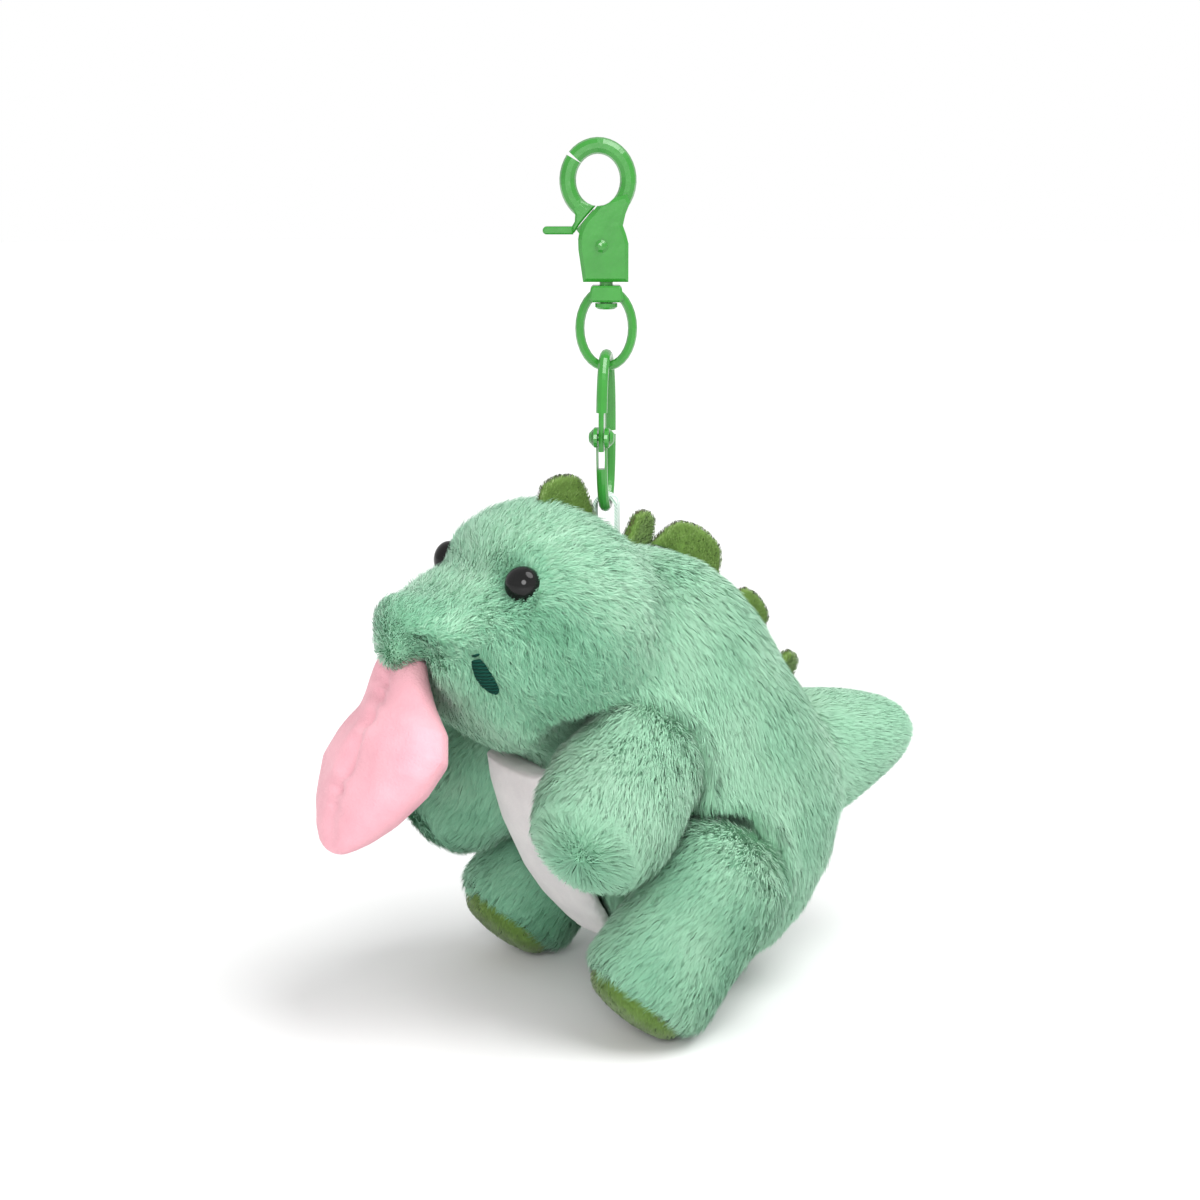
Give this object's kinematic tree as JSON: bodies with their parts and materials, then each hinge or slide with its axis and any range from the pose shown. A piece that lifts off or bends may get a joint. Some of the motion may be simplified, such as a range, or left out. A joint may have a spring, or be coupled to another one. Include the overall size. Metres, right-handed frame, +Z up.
{
  "type": "stuffed dinosaur bag charm",
  "caption": "Small stuffed dinosaur with back spikes and a padded tongue, hung by a fabric loop from an oval hinged clip, a swivel ring and a lobster clasp.",
  "frame": {"origin": "in the eye of the lobster clasp, on the vertical axis that the toy hangs on", "axes": "+Z up along the chain, the dinosaur faces -Y, its left side is +X and its mirror plane is X = 0"},
  "size_m": [0.08, 0.1397, 0.1726],
  "materials": {
    "green_paint": "gloss",
    "spring_steel": "bright wire",
    "mint_fur": "plush pile",
    "olive_velour": "short velour",
    "pink_velour": "short velour",
    "white_velour": "short velour",
    "loop_ribbon": "woven ribbon",
    "dark_thread": "satin stitch",
    "black_plastic": "gloss",
    "washer_plastic": "moulded"
  },
  "bodies": {
    "clasp": {"clasp_body": "green_paint", "clasp_rivet": "green_paint", "clasp_spring": "spring_steel", "swivel_post": "green_paint"},
    "lever": {"clasp_lever": "green_paint"},
    "swivel": {"swivel_ring": "green_paint"},
    "clip": {"clip_upper": "green_paint", "clip_pin": "green_paint"},
    "clip_gate": {"clip_lower": "green_paint"},
    "plush": {"hang_loop": "loop_ribbon", "head": "mint_fur", "trunk": "mint_fur", "tail": "mint_fur", "belly_panel": "white_velour", "spike_1": "olive_velour", "spike_2": "olive_velour", "spike_3": "olive_velour", "spike_4": "olive_velour", "spike_5": "olive_velour", "eye_left": "black_plastic", "eye_right": "black_plastic", "eye_washer_left": "washer_plastic", "eye_washer_right": "washer_plastic", "mouth_corner_left": "dark_thread", "mouth_corner_right": "dark_thread"},
    "arm_left_body": {"arm_left": "mint_fur"},
    "arm_right_body": {"arm_right": "mint_fur"},
    "leg_left_body": {"leg_left": "mint_fur", "sole_left": "olive_velour"},
    "leg_right_body": {"leg_right": "mint_fur", "sole_right": "olive_velour"},
    "tongue_body": {"tongue": "pink_velour"}
  },
  "joints": [
    {"name": "lever_pivot", "type": "hinge", "parent": "clasp", "child": "lever", "pos_m": [-0.00047, -0.00081, -0.0125], "axis": [0.866, -0.5, 0], "range_deg": [0, 30], "stiffness_Nm_per_rad": 0.02, "springref_deg": -17.19},
    {"name": "swivel_spin", "type": "hinge", "parent": "clasp", "child": "swivel", "pos_m": [0, 0, -0.0215], "axis": [0, 0, 1], "continuous": true},
    {"name": "clip_swing", "type": "hinge", "parent": "swivel", "child": "clip", "pos_m": [0, 0, -0.0359], "axis": [0.5, 0.866, 0], "range_deg": [-25, 25]},
    {"name": "clip_gate_hinge", "type": "hinge", "parent": "clip", "child": "clip_gate", "pos_m": [0.00591, -0.00445, -0.049], "axis": [-0.6018, -0.7986, 0], "range_deg": [0, 50]},
    {"name": "plush_swing", "type": "hinge", "parent": "clip_gate", "child": "plush", "pos_m": [0, 0, -0.0635], "axis": [0.7986, -0.6018, 0], "range_deg": [-15, 15]},
    {"name": "arm_left_swing", "type": "hinge", "parent": "plush", "child": "arm_left_body", "pos_m": [0.024, -0.004, -0.103], "axis": [1, 0, 0], "range_deg": [-15, 0], "stiffness_Nm_per_rad": 0.02},
    {"name": "arm_right_swing", "type": "hinge", "parent": "plush", "child": "arm_right_body", "pos_m": [-0.024, -0.004, -0.103], "axis": [1, 0, 0], "range_deg": [-15, 0], "stiffness_Nm_per_rad": 0.02},
    {"name": "leg_left_swing", "type": "hinge", "parent": "plush", "child": "leg_left_body", "pos_m": [0.027, 0.015, -0.138], "axis": [1, 0, 0], "range_deg": [0, 20], "stiffness_Nm_per_rad": 0.03},
    {"name": "leg_right_swing", "type": "hinge", "parent": "plush", "child": "leg_right_body", "pos_m": [-0.027, 0.015, -0.138], "axis": [1, 0, 0], "range_deg": [0, 20], "stiffness_Nm_per_rad": 0.03},
    {"name": "tongue_flex", "type": "hinge", "parent": "plush", "child": "tongue_body", "pos_m": [0, -0.0426, -0.088], "axis": [1, 0, 0], "range_deg": [-12, 12], "stiffness_Nm_per_rad": 0.02}
  ]
}
